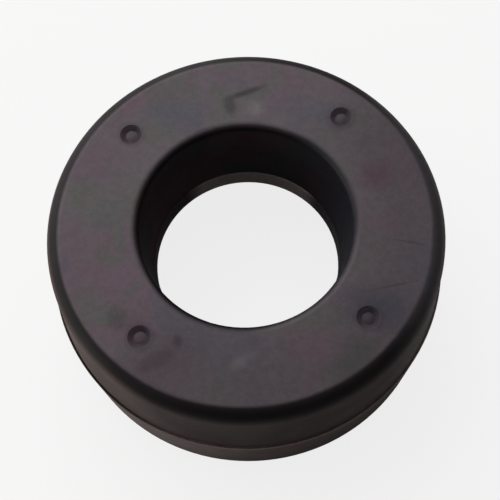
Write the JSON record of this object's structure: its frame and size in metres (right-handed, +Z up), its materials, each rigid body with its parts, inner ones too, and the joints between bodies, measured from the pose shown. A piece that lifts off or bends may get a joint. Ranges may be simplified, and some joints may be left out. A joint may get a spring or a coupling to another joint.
{
  "type": "rubber ring",
  "caption": "Thick moulded rubber ring with a flat top, a tapered round bore and a parting line round its middle.",
  "frame": {"origin": "centre of the ring's flat underside, on the surface it stands on", "axes": "+Z up along the ring's axis; the four dimples of the top face lie on the diagonals between X and Y"},
  "size_m": [0.0716, 0.0716, 0.0305],
  "materials": {
    "rubber": "satin"
  },
  "bodies": {
    "root": {"rubber_ring": "rubber"}
  },
  "joints": []
}
